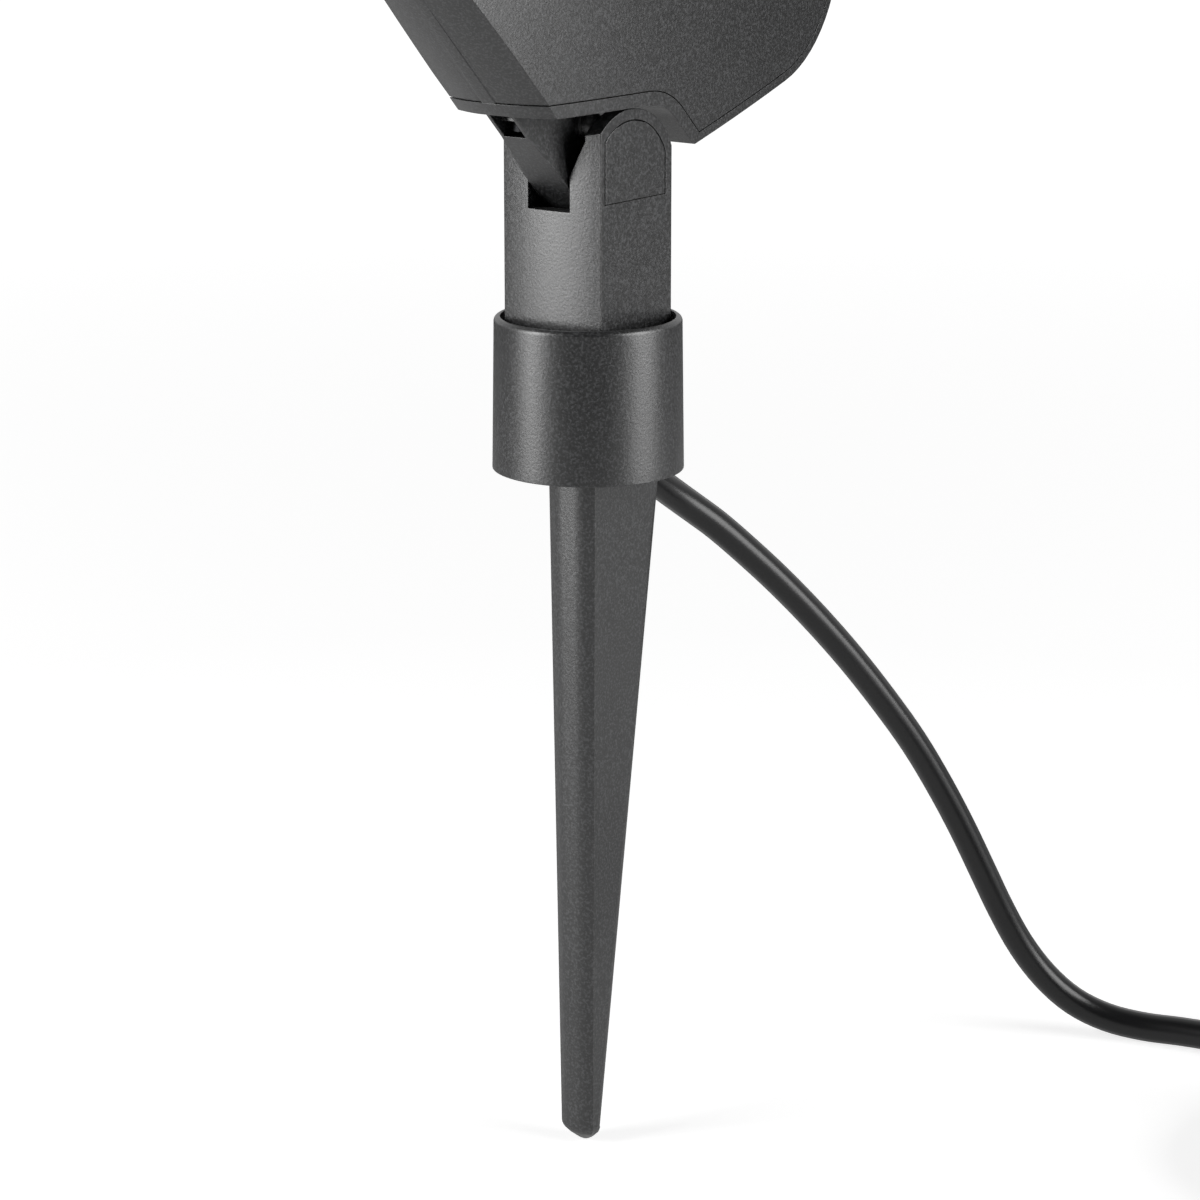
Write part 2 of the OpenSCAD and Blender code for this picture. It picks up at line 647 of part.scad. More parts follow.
module side_crown(side, shrink)
    translate([side*(side_crown_r - head_half_t + shrink), crown_centre[0], crown_centre[1]])
        sphere(r = side_crown_r, $fn = 360);
module head_blank(ins, shrink) {
    at_pivot() intersection() {
        rotate([90, 0, 90]) linear_extrude(height = 3*head_half_t, center = true) polygon(head_outline(ins));
        side_crown(1, shrink);
        side_crown(-1, shrink);
    }
}

// Takes the flat spine down to a round one between its two creases
module spine_cutter() {
    at_pivot() rotate([-beam_angle, 0, 0]) difference() {
        translate([-far/2, -far, spine_b - 1]) cube([far, 1.5*far, 6]);
        translate([0, 0, spine_b + spine_r]) rotate([90, 0, 0]) cylinder(r = spine_r, h = 3*far, center = true, $fn = 2*fine);
    }
}
// Everything in front of a plane across the beam
module before_plane(a) at_pivot() rotate([-beam_angle, 0, 0]) translate([-far/2, -a - far, -far/2]) cube([far, far, 2*far]);

// Three screws hold the cover, one in its tail, one behind and one on top. Local +Z runs into the head
cover_screw_edges = [2, 3, 4];
cover_screw_along = [17.3, 26, 56.9];
seal_t = 1.2;
boss_h = 8;
module cover_screw_axis(k) {
    d = edge_dir(cover_screw_edges[k]);
    p = corner_at(cover_screw_edges[k]) + d*cover_screw_along[k];
    at_pivot() translate([0, p[0], p[1]]) rotate([atan2(d[1], d[0]), 0, 0]) children();
}
// Four small screws hold the bezel in the corners of the front, in two bars across the shell
bezel_screw_x = window_w/2 - 1;
bezel_bar = [window_l/2 + 0.8, front_h/2 - rear_band_t - seal_t - 0.3];
bezel_screw_b = (bezel_bar[0] + bezel_bar[1])/2;
module each_bezel_screw(a) at_front(a)
    for (x = [-1, 1]) for (b = [-1, 1]) translate([x*bezel_screw_x, b*bezel_screw_b, 0]) children();

module head_shell() {
    color(anthracite) difference() {
        union() {
            difference() {
                head_blank(seam, 0);
                spine_cutter();
                head_blank(cavity, shell_wall);
            }
            intersection() {
                head_blank(seam, shell_wall - 0.5);
                for (k = [0:2]) cover_screw_axis(k)
                    translate([-far/2, -boss_w/2, rear_band_t + seal_t + 0.3]) cube([far, boss_w, boss_h]);
            }
            intersection() {
                head_blank(seam, shell_wall - 0.5);
                for (p = board_posts) at_pivot() translate([-far/2, p[0], p[1]]) rotate([0, 90, 0])
                    cylinder(r = 3, h = far/2 - board_x, $fn = round_fn);
            }
            intersection() {
                head_blank(seam, shell_wall - 0.5);
                at_front(front_reach - bezel_t + 1) for (end = [0, 1]) mirror([0, end, 0])
                    translate([-far/2, bezel_bar[0], 0]) cube([far, bezel_bar[1] - bezel_bar[0], bezel_bar_t + 1]);
            }
        }
        before_plane(front_reach - bezel_t);
        for (k = [0:2]) cover_screw_axis(k) cylinder(r = thread_r + run_gap, h = 30, center = true, $fn = round_fn);
        each_bezel_screw(front_reach)
            cylinder(r = bezel_thread_r + run_gap, h = bezel_screw_l + 0.5, $fn = round_fn);
        for (p = board_posts) at_pivot() translate([-board_x - 8, p[0], p[1]]) rotate([0, 90, 0])
            cylinder(r = thread_r + run_gap, h = 12, $fn = round_fn);
    }
}
boss_w = 8;
thread_r = 1.2;
bezel_thread_r = 1;
bezel_csk_r = 2;
bezel_bar_t = 11;
bezel_screw_l = 14;

module bottom_cover() {
    color(anthracite) difference() {
        head_blank(flush, 0);
        spine_cutter();
        inner_of_band();
        before_plane(front_reach - bezel_t);
        at_pivot() for (y = arm_screw_y) translate([0, y, 0])
            cylinder(r = screw_r + 0.1, h = underside + 10, $fn = round_fn);
        at_pivot() translate([0, head_lead_y, 0])
            cylinder(r = lead_seal_r + run_gap, h = underside + 10, $fn = round_fn);
        for (k = [0:2]) cover_screw_axis(k) {
            cylinder(r = thread_r + 0.2, h = 20, center = true, $fn = round_fn);
            translate([0, 0, -1]) cylinder(r = csk_r + 0.2, h = 1, $fn = round_fn);
            cylinder(r1 = csk_r + 0.2, r2 = thread_r + 0.2, h = csk_t, $fn = round_fn);
        }
    }
}
// Prism inside the seam, wider than the head
module inner_of_band() at_pivot() rotate([90, 0, 90]) linear_extrude(height = 4*head_half_t, center = true)
    polygon(head_outline([band_t, band_t, rear_band_t, rear_band_t, rear_band_t, -5, -9]));

// Two strips on the band, each along the foot of a side wall
module cover_seal() {
    inner = seam + seal_t*[1, 1, 1, 1, 1, 0, 0] - [0, 0, 0, 0, 0, 1, 9];
    outer = seam - [0, 0, 0, 0, 0, 1, -spine_bulge - shell_wall];
    color(rubber_black) difference() {
        head_blank(outer, shell_wall + run_gap);
        at_pivot() rotate([90, 0, 90]) linear_extrude(height = 4*head_half_t, center = true)
            polygon(head_outline(inner));
        head_blank(cavity, shell_wall + 1.6);
        before_plane(front_reach - bezel_t - 2);
    }
}

// Countersunk head with a hexagon socket, its face level with local zero
csk_r = 2.6;
csk_t = 1.5;
module countersunk_screw(l, shank_r = thread_r, head_r = csk_r) difference() {
    union() {
        cylinder(r1 = head_r, r2 = shank_r, h = csk_t, $fn = round_fn);
        cylinder(r = shank_r, h = l, $fn = round_fn);
    }
    translate([0, 0, -1]) cylinder(r = 1.2, h = 1.9, $fn = 6);
}
module cover_screws() color(steel) for (k = [0:2]) cover_screw_axis(k) countersunk_screw(9);

// Light opening. Everything here is set out across the beam

front_mid_b = spine_b + spine_bulge + front_h/2;
module at_front(a) at_pivot() rotate([-beam_angle, 0, 0]) translate([0, -a, front_mid_b]) rotate([-90, 0, 0]) children();
// Oblong with round ends, long way up the front; its thickness runs back into the head
module oblong(w, l, t) {
    translate([-w/2, -(l - w)/2, 0]) cube([w, l - w, t]);
    for (s = [-1, 1]) translate([0, s*(l - w)/2, 0]) cylinder(d = w, h = t, $fn = fine);
}

lens_seal_t = 1.1;
lip_t = bezel_t - glass_t - lens_seal_t;
module front_bezel() {
    color(anthracite) difference() {
        head_blank(flush, 0);
        spine_cutter();
        at_front(front_reach - bezel_t) translate([-far/2, -far/2, -eps]) cube([far, far, far]);
        at_front(front_reach + 1) oblong(window_w, window_l, far);
        at_front(front_reach - lip_t)
            oblong(window_w + 2*glass_rim + 2*slip_gap, window_l + 2*glass_rim + 2*slip_gap, far);
        each_bezel_screw(front_reach) {
            translate([0, 0, -1]) cylinder(r = bezel_csk_r + 0.2, h = 1, $fn = round_fn);
            cylinder(r = bezel_thread_r + 0.2, h = far, $fn = round_fn);
            cylinder(r1 = bezel_csk_r + 0.2, r2 = bezel_thread_r + 0.2, h = csk_t, $fn = round_fn);
        }
    }
}
module bezel_screws() color(steel) each_bezel_screw(front_reach)
    countersunk_screw(bezel_screw_l, bezel_thread_r, bezel_csk_r);
module lens_glass() color([0.8, 0.85, 0.88, 0.35]) at_front(front_reach - lip_t)
    oblong(window_w + 2*glass_rim, window_l + 2*glass_rim, glass_t);
module lens_seal() color(rubber_black) at_front(front_reach - lip_t - glass_t) difference() {
    oblong(window_w + 2*glass_rim, window_l + 2*glass_rim, lens_seal_t);
    translate([0, 0, -1]) oblong(window_w - 1, window_l - 1, 4);
}

reflector_a = front_reach - bezel_t;
function led_y(k) = (k - (led_count - 1)/2)*led_pitch;
module reflector() {
    color(white_part) at_front(reflector_a) difference() {
        oblong(window_w + 1, window_l + 1, reflector_t);
        for (k = [0:led_count - 1]) translate([0, led_y(k), -eps])
            cylinder(r1 = window_w/2 - 1, r2 = led_size*0.9, h = reflector_t + 2*eps, $fn = round_fn);
    }
}
led_size = 3.5;
led_t = 1.2;
module led_board() color(white_part) at_front(reflector_a - reflector_t) oblong(window_w, window_l, board_t);
module led_chips() color([0.95, 0.85, 0.4]) at_front(reflector_a - reflector_t)
    for (k = [0:led_count - 1]) translate([-led_size/2, led_y(k) - led_size/2, -led_t])
        cube([led_size, led_size, led_t]);

// Finned block that fills the shell from side to side behind the board
spreader_t = 10;
spreader_base_t = 3.5;
fin_pitch = 4;
fin_gap = 1.8;
module heat_spreader() {
    color(steel) difference() {
        intersection() {
            head_blank(cavity, shell_wall + slip_gap);
            at_front(reflector_a - reflector_t - board_t) translate([-far/2, -window_l/2, 0])
                cube([far, window_l, spreader_t]);
        }
        at_front(reflector_a - reflector_t - board_t - spreader_base_t)
            for (k = [-2:2]) translate([k*fin_pitch - fin_gap/2, -far/2, 0]) cube([fin_gap, far, far]);
    }
}

// Driver board, on posts of the shell's left side
board_x = 3;
board_t = 1.6;
board_y = 10;
board_foot_z = 38;
board_w = 50;
board_h = 38;
post_inset = 4;
board_posts = [for (y = [post_inset, board_w - post_inset]) for (z = [post_inset, board_h - post_inset])
    [board_y + y, board_foot_z + z]];
module driver_board() {
    color([0.1, 0.3, 0.18]) at_pivot() difference() {
        translate([-board_x, board_y, board_foot_z]) cube([board_t, board_w, board_h]);
        for (p = board_posts) translate([-far/2, p[0], p[1]]) rotate([0, 90, 0]) cylinder(r = 1.6, h = far, $fn = small_fn);
    }
}
// Round parts on the board: place across and up, radius, length
round_parts = [[8, 15, 5, 9], [28, 28, 4, 8]];
// Square parts on the board: place across and up, thickness, width, height
square_parts = [[16, 8, 8, 13, 13], [9, 25, 3, 9, 7], [33, 10, 7, 7, 14]];
board_screw_head_r = 2.6;
board_screw_head_t = 1.8;
board_screw_l = 7;
module driver_parts() {
    color(dark_part) at_pivot() translate([board_t - board_x, board_y, board_foot_z]) {
        for (p = round_parts) translate([0, p[0], p[1]]) rotate([0, 90, 0]) cylinder(r = p[2], h = p[3], $fn = round_fn);
        for (p = square_parts) translate([0, p[0], p[1]]) cube([p[2], p[3], p[4]]);
    }
}
module board_screws() {
    color(steel) at_pivot() for (p = board_posts) translate([board_t - board_x, p[0], p[1]]) {
        rotate([0, 90, 0]) cylinder(r = board_screw_head_r, h = board_screw_head_t, $fn = round_fn);
        rotate([0, -90, 0]) cylinder(r = thread_r, h = board_screw_l, $fn = round_fn);
    }
}

// Cable, coil and plug

module cable() color(rubber_black)
    tube_along(cable_route, cable_d, tube_sides, [0, cos(gland_slope), -sin(gland_slope)], [1, 0, 0]);
module cable_coil() color(rubber_black) tube_along(coil_tube, cable_d, coil_sides, [1, 0, 0], coil_end_dir);

module cable_tie() {
    inner_r = coil_r - coil_step*wound_turns/2 - cable_d/2 - slip_gap;
    loop = [tie_w, coil_r + cable_d/2 + slip_gap - inner_r, layer_step + cable_d];
    color(dark_part) translate([coil_centre[0], coil_centre[1], floor_z]) rotate(180) difference() {
        translate([-tie_w/2, inner_r - tie_t, 0]) cube(loop + [0, 2*tie_t, 2*tie_t]);
        translate([-tie_w/2 - 1, inner_r, tie_t]) cube(loop + [2, 0, 0]);
    }
}
tie_w = 6;

// Connector: a body that tapers to the cable, a screw ring over its socket and two contact sleeves
plug_body_r = plug_r - 1.4;
plug_cone_l = 12;
ring_l = 18;
contact_l = 9;
socket_r = plug_body_r - 0.6;
module at_plug() translate(plug_start) rotate(plug_heading) rotate([0, 90, 0]) children();
module each_contact() at_plug() for (s = [-1, 1]) translate([0, s*2.4, plug_l - contact_l]) children();
module plug_body() {
    color(dark_part) difference() {
        at_plug() {
            cylinder(r1 = cable_d/2 + 0.6, r2 = plug_body_r, h = plug_cone_l, $fn = round_fn);
            translate([0, 0, plug_cone_l]) cylinder(r = plug_body_r, h = plug_l - plug_cone_l, $fn = round_fn);
        }
        each_contact() cylinder(r = 1.4 + run_gap, h = contact_l + 1, $fn = small_fn);
    }
}
module plug_nut() {
    color(dark_part) at_plug() translate([0, 0, plug_l + socket_l - ring_l]) difference() {
        cylinder(r = plug_r, h = ring_l, $fn = round_fn);
        translate([0, 0, -1]) cylinder(r = plug_body_r + run_gap, h = ring_l - socket_l + 1, $fn = round_fn);
        cylinder(r = socket_r, h = ring_l + 1, $fn = round_fn);
    }
}
module plug_contacts() color(steel) each_contact() difference() {
    cylinder(r = 1.4, h = contact_l, $fn = small_fn);
    translate([0, 0, 1]) cylinder(r = 0.9, h = contact_l, $fn = small_fn);
}

ground_spike();
spike_screws();
collar();
cable_gland();
base_lead();
cable();
cable_coil();
cable_tie();
plug_body();
plug_nut();
plug_contacts();
stem();
right_ear_cover();
left_ear_cover();
pivot_bolt();
pivot_nut();
pivot_washers();
swivel_washer();
swivel_nut();
stem_lead();
tilt_arm();
stop_pin();
arm_screws();
arm_plate();
lead_seal();
head_lead();
head_shell();
bottom_cover();
cover_seal();
cover_screws();
front_bezel();
bezel_screws();
lens_glass();
lens_seal();
reflector();
led_board();
led_chips();
heat_spreader();
driver_board();
driver_parts();
board_screws();
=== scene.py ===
import math
import bmesh
import bpy
import numpy as np
from mathutils import Matrix, Vector
from mathutils.bvhtree import BVHTree


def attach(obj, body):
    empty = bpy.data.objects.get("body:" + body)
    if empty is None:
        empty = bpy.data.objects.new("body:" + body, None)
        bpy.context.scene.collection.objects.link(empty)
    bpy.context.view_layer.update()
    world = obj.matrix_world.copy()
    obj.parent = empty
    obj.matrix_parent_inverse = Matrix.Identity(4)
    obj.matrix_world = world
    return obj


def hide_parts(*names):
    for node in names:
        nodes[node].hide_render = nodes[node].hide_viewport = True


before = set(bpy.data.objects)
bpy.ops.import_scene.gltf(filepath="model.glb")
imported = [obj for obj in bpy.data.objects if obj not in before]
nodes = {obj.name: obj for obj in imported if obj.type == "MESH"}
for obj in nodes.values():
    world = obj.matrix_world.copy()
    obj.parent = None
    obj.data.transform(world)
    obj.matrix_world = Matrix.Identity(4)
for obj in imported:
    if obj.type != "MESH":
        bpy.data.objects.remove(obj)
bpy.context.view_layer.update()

MM = 0.001

# Camera
# It looks from the right of the lit side, a little above the collar, through a long lens
# that keeps the stem and the spike nearly parallel.
view_azimuth = math.radians(37.1)
view_rise = math.radians(14.0)
view_distance = 858 * MM
view_target = Vector((2.5, 1.3, -17.8)) * MM
away = Vector((math.sin(view_azimuth) * math.cos(view_rise),
               -math.cos(view_azimuth) * math.cos(view_rise), math.sin(view_rise)))
camera_data = bpy.data.cameras.new("camera")
camera_data.lens = 109.1
camera_data.sensor_width = 36
camera_data.shift_y = -0.05
camera_data.clip_start = 0.05
camera_data.clip_end = 50
camera = bpy.data.objects.new("camera", camera_data)
camera.location = view_target + away * view_distance
camera.rotation_mode = "QUATERNION"
camera.rotation_quaternion = (-away).to_track_quat("-Z", "Y")
bpy.context.scene.collection.objects.link(camera)
bpy.context.scene.camera = camera
bpy.context.scene.view_settings.view_transform = "Standard"


# Rubber cable
# Round black rubber lead of two cores. It leaves the foot of the collar, falls in a long curve to
# the floor that the spike's tip stands on, and the rest is wound into a tied coil behind.
class Wire:
    """A shader socket that takes Python's arithmetic."""

    def __init__(self, tree, socket):
        self.tree = tree
        self.socket = socket

    def node(self, kind, settings=None, values=None, out=0):
        made = self.tree.nodes.new(kind)
        for key, value in (settings or {}).items():
            if key == "stops":
                ramp = made.color_ramp
                while len(ramp.elements) < len(value):
                    ramp.elements.new(0.5)
                for element, (place, level) in zip(ramp.elements, value):
                    element.position = place
                    element.color = (level, level, level, 1)
            else:
                setattr(made, key, value)
        for key, value in (values or {}).items():
            if isinstance(value, Wire):
                self.tree.links.new(value.socket, made.inputs[key])
            else:
                made.inputs[key].default_value = value
        return Wire(self.tree, made.outputs[out])

    def math(self, operation, a, b=0.0):
        return self.node("ShaderNodeMath", {"operation": operation}, {0: a, 1: b})

    def __add__(self, other):
        return self.math("ADD", self, other)

    def __radd__(self, other):
        return self.math("ADD", other, self)

    def __sub__(self, other):
        return self.math("SUBTRACT", self, other)

    def __rsub__(self, other):
        return self.math("SUBTRACT", other, self)

    def __mul__(self, other):
        return self.math("MULTIPLY", self, other)

    def __rmul__(self, other):
        return self.math("MULTIPLY", other, self)


def new_material(name, roughness, metallic=0.0, specular=0.5):
    """A material, its shader node, and the place on the object as a Wire."""
    made = bpy.data.materials.new(name)
    made.use_nodes = True
    tree = made.node_tree
    shader = tree.nodes["Principled BSDF"]
    shader.inputs["Roughness"].default_value = roughness
    shader.inputs["Metallic"].default_value = metallic
    shader.inputs["Specular IOR Level"].default_value = specular
    place = Wire(tree, tree.nodes.new("ShaderNodeTexCoord").outputs["Object"])
    return made, shader, place


def noise(place, grain_mm, detail=2.0, sharp=0.5):
    """Noise whose lumps are about grain_mm across."""
    return place.node("ShaderNodeTexNoise", {"noise_dimensions": "3D"},
                      {"Vector": place, "Scale": 1000 / grain_mm, "Detail": detail, "Roughness": sharp})


def link(tree, wire, socket):
    tree.links.new(wire.socket, socket)


def shade_between(wire, dark, light):
    """A colour that runs from dark to light as the wire runs from 0 to 1."""
    return wire.node("ShaderNodeMix", {"data_type": "RGBA"},
                     {"Factor": wire, "A": (*dark, 1), "B": (*light, 1)}, out=2)


def raise_bump(wire, height_mm, strength=1.0, round_mm=0):
    """Small hills of a given height, on edges that look rounded off by round_mm."""
    values = {"Strength": strength, "Distance": height_mm * MM, "Height": wire}
    if round_mm:
        values["Normal"] = wire.node("ShaderNodeBevel", {"samples": 6}, {"Radius": round_mm * MM})
    return wire.node("ShaderNodeBump", {}, values)


def make_rubber(name, base, roughness):
    made, shader, place = new_material(name, roughness)
    tree = made.node_tree
    cloudy = noise(place, 6.0)
    grain = noise(place, 0.35, 3.0)
    link(tree, shade_between(cloudy, [c * 0.8 for c in base], [c * 1.25 for c in base]),
         shader.inputs["Base Color"])
    link(tree, roughness - 0.06 + 0.12 * grain, shader.inputs["Roughness"])
    link(tree, raise_bump(grain, 0.02, 0.6), shader.inputs["Normal"])
    return made


cable_rubber = make_rubber("cable_rubber", (0.005, 0.005, 0.0055), 0.3)
seal_rubber = make_rubber("seal_rubber", (0.02, 0.02, 0.021), 0.6)

cable_d = 7.5
floor_z = -169.0
lay_z = floor_z + cable_d / 2
cable_route = [
    (0, 15.9, -0.4), (0, 19.6, -3.2), (0.1, 23.3, -6), (0.6, 27.1, -8.8), (1.4, 30.7, -11.5),
    (2.6, 34.3, -14.3), (4.3, 37.9, -17.3), (7, 42.7, -21.6), (10.6, 49.2, -28.2), (15.2, 57.5, -37.2),
    (20.2, 66.5, -47.9), (25.2, 75.5, -59.6), (30, 84, -71.9), (34.3, 91.8, -84.1), (38, 98.6, -96.5),
    (41.3, 104.6, -108.7), (44.3, 110, -120.8), (47.2, 115.2, -132.5), (50.7, 120.3, -143.4),
    (55.3, 125.4, -152.6), (61.3, 130.2, -159.6), (69, 134.4, -163.7), (78, 137.9, -165.25),
    (88, 140.8, -165.25), (99, 143.1, -165.25), (111, 144.7, -165.25), (124, 145.5, -165.25),
    (138, 145.7, -165.25), (152, 145.5, -165.25),
]
coil_centre = (173, 100.5)
coil_r = 45.0
coil_step = 8.1
layer_step = 8.05
coil_turns = 2.25
climb_turns = 0.5
leave_turns = 0.35
wound_turns = 2 * coil_turns + climb_turns
points_per_turn = 48
plug_r = 8.0
plug_lift = layer_step + cable_d / 2 + plug_r + 0.1
plug_inset = 7
tie_t = 0.8


def smooth(t):
    t = min(1, max(0, t))
    return t * t * (3 - 2 * t)


def coil_point(t):
    """Clockwise from the rear: inwards below, up half a turn, outwards above, and the end on top."""
    if t > wound_turns:
        leaving = (t - wound_turns) / leave_turns
        radius = coil_r - plug_inset * smooth((leaving - 0.25) / 0.75)
        rise = layer_step + (plug_lift - layer_step) * math.sin(leaving * math.pi / 2)
    else:
        radius = coil_r - coil_step * min(t, wound_turns - t)
        rise = layer_step * smooth((t - coil_turns) / climb_turns)
        rise += tie_t * ((1 - math.cos(math.tau * t)) / 2) ** 4
    return (coil_centre[0] + radius * math.sin(math.tau * t),
            coil_centre[1] + radius * math.cos(math.tau * t), lay_z + rise)


def through(points, steps):
    """Points on a smooth curve through the given ones."""
    ends = [points[0] * 2 - points[1], *points, points[-1] * 2 - points[-2]]
    found = []
    for i in range(len(points) - 1):
        a, b, c, d = ends[i:i + 4]
        for k in range(steps):
            t = k / steps
            found.append((2 * b + (c - a) * t + (2 * a - 5 * b + 4 * c - d) * t ** 2
                          + (3 * b - a - 3 * c + d) * t ** 3) / 2)
    return [*found, points[-1]]


coil_end = wound_turns + leave_turns
coil_points = [coil_point(coil_end * k / round(coil_end * points_per_turn))
               for k in range(round(coil_end * points_per_turn) + 1)]
plug_turn = math.tau * coil_end
plug_dir = Vector((math.cos(plug_turn), -math.sin(plug_turn), 0))
plug_start = (Vector(coil_points[-1]) + plug_dir * cable_d) * MM
first_part = through([Vector(p) for p in [*cable_route, coil_points[0]]], 4)
cable_line = [p * MM for p in first_part[:-1]] + [Vector(p) * MM for p in coil_points] + [plug_start]


def tube_piece(name, line, diameter, sides, material):
    """A closed tube that follows a line of points."""
    data = bpy.data.curves.new(name, "CURVE")
    data.dimensions = "3D"
    data.bevel_depth = diameter / 2
    data.bevel_resolution = sides // 4 - 1
    data.use_fill_caps = True
    spline = data.splines.new("POLY")
    spline.points.add(len(line) - 1)
    for point, place in zip(spline.points, line):
        point.co = (*place, 1)
    spline.use_smooth = True
    data.materials.append(material)
    made = bpy.data.objects.new(name, data)
    bpy.context.scene.collection.objects.link(made)
    return made


power_cable = tube_piece("power_cable", cable_line, cable_d * MM, 16, cable_rubber)
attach(power_cable, "root")
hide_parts("cable", "cable_coil")


# Plug
# Moulded connector on the cable's end, lying on the coil: a body that tapers to the lead, a screw
# ring with grip ribs over the socket, and two brass contact sleeves.
def make_plastic(name, base, roughness, grain_mm=0.5):
    made, shader, place = new_material(name, roughness)
    tree = made.node_tree
    grain = noise(place, grain_mm, 3.0)
    cloudy = noise(place, 9.0)
    link(tree, shade_between(cloudy, [c * 0.85 for c in base], [c * 1.18 for c in base]),
         shader.inputs["Base Color"])
    link(tree, roughness - 0.07 + 0.14 * grain, shader.inputs["Roughness"])
    link(tree, raise_bump(grain, 0.02, 0.5), shader.inputs["Normal"])
    return made


plug_plastic = make_plastic("plug_plastic", (0.02, 0.02, 0.021), 0.42)
tie_fabric = make_plastic("tie_fabric", (0.016, 0.016, 0.018), 0.8, 0.25)


def add_mesh(name, bm, material, smooth_angle=35):
    """A new piece from a bmesh, shaded smooth up to an angle."""
    data = bpy.data.meshes.new(name)
    for face in bm.faces:
        face.smooth = True
    bm.to_mesh(data)
    bm.free()
    data.set_sharp_from_angle(angle=math.radians(smooth_angle))
    data.materials.append(material)
    made = bpy.data.objects.new(name, data)
    bpy.context.scene.collection.objects.link(made)
    return made


def lathe(bm, profile, steps, closed=False):
    """Spins a profile of (radius, height) pairs in millimetres about Z."""
    verts = [bm.verts.new((r * MM, 0, z * MM)) for r, z in profile]
    edges = [bm.edges.new(pair) for pair in zip(verts, verts[1:])]
    if closed:
        edges.append(bm.edges.new((verts[-1], verts[0])))
    bmesh.ops.spin(bm, geom=[*verts, *edges], axis=(0, 0, 1), cent=(0, 0, 0), steps=steps,
                   angle=math.tau, use_merge=True)
    bmesh.ops.remove_doubles(bm, verts=bm.verts, dist=1e-6)
    bmesh.ops.recalc_face_normals(bm, faces=bm.faces)


plug_place = Matrix.Translation(plug_start) @ plug_dir.to_track_quat("Z", "Y").to_matrix().to_4x4()
plug_l = 28.0
socket_l = 8.0
ring_l = 18.0
knurl_l = 13.5
knurl_t = 0.4
ring_facets = 96
plug_body_r = plug_r - 1.4
socket_r = plug_body_r - 0.6
strain_rings = 5
strain_step = 1.9

bm = bmesh.new()
profile = [(0, 0), (cable_d / 2 + 0.3, 0), (cable_d / 2 + 0.6, 0.3)]
for k in range(strain_rings):
    foot = 1.0 + strain_step * k
    grown = cable_d / 2 + 0.6 + 0.28 * k
    profile += [(grown, foot), (grown - 0.45, foot + 0.4), (grown - 0.45, foot + 0.9),
                (grown + 0.2, foot + 1.3)]
profile += [(plug_body_r - 0.5, 11.4), (plug_body_r, 12.2), (plug_body_r, plug_l - 0.4),
            (plug_body_r - 0.4, plug_l), (0, plug_l)]
lathe(bm, profile, 48)
bmesh.ops.transform(bm, matrix=plug_place, verts=bm.verts)
connector_body = add_mesh("connector_body", bm, plug_plastic)

bm = bmesh.new()
ring_z = plug_l + socket_l - ring_l
lathe(bm, [(plug_body_r + 0.05, ring_z + 0.3), (plug_body_r + 0.35, ring_z), (plug_r - 0.9, ring_z),
           (plug_r - knurl_t, ring_z + 0.5), (plug_r - knurl_t, ring_z + knurl_l),
           (plug_r - 0.7, ring_z + knurl_l + 0.7),
           (plug_r - 0.7, ring_z + ring_l - 0.5), (plug_r - 1.0, ring_z + ring_l),
           (socket_r + 0.3, ring_z + ring_l), (socket_r, ring_z + ring_l - 0.3),
           (socket_r, plug_l + 0.02), (plug_body_r + 0.05, plug_l + 0.02)], ring_facets, True)


def round_the_axis(face):
    return round(math.atan2(*face.calc_center_median()[:2]) / math.tau * ring_facets)


knurled = [f for f in bm.faces
           if math.hypot(*f.calc_center_median()[:2]) > (plug_r - knurl_t - 0.02) * MM
           and f.calc_area() > 4 * MM * MM and round_the_axis(f) % 4 < 2]
grown = bmesh.ops.extrude_face_region(bm, geom=knurled)
for v in grown["geom"]:
    if isinstance(v, bmesh.types.BMVert):
        v.co += Vector((v.co.x, v.co.y, 0)).normalized() * knurl_t * MM
bmesh.ops.recalc_face_normals(bm, faces=bm.faces)
bmesh.ops.transform(bm, matrix=plug_place, verts=bm.verts)
connector_ring = add_mesh("connector_ring", bm, plug_plastic, 25)
for piece, node in ((connector_body, "plug_body"), (connector_ring, "plug_nut")):
    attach(piece, "root")
    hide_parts(node)


# Cable tie
# Strap of hook-and-loop tape round the coil, closed on itself, with its loose end lying on top.
tie_w = 11.0
tie_slack = 0.15
tie_tab_l = 18.0
tie_tab_t = 0.5
tie_corner = 2.4
tie_inner = coil_r - coil_step * wound_turns / 2 - cable_d / 2 - tie_slack
tie_outer = coil_r + cable_d / 2 + tie_slack
tie_height = layer_step + cable_d
strap = []
for corner_r, corner_z, start in ((tie_outer - tie_corner, tie_corner, -90),
                                  (tie_outer - tie_corner, tie_height - tie_corner, 0),
                                  (tie_inner + tie_corner, tie_height - tie_corner, 90),
                                  (tie_inner + tie_corner, tie_corner, 180)):
    for k in range(7):
        a = math.radians(start + 15 * k)
        strap.append((corner_r + tie_corner * math.cos(a), corner_z + tie_t + tie_corner * math.sin(a)))
bm = bmesh.new()
verts = [bm.verts.new((-tie_w / 2 * MM, r * MM, z * MM)) for r, z in strap]
edges = [bm.edges.new((verts[i], verts[(i + 1) % len(verts)])) for i in range(len(verts))]
swept = bmesh.ops.extrude_edge_only(bm, edges=edges)
moved = [v for v in swept["geom"] if isinstance(v, bmesh.types.BMVert)]
bmesh.ops.translate(bm, verts=moved, vec=(tie_w * MM, 0, 0))
bmesh.ops.recalc_face_normals(bm, faces=bm.faces)
bmesh.ops.solidify(bm, geom=bm.faces, thickness=-(tie_t - 0.1) * MM)
tab_middle = Vector((0, tie_outer - 13, tie_height + 2 * tie_t + 0.2))
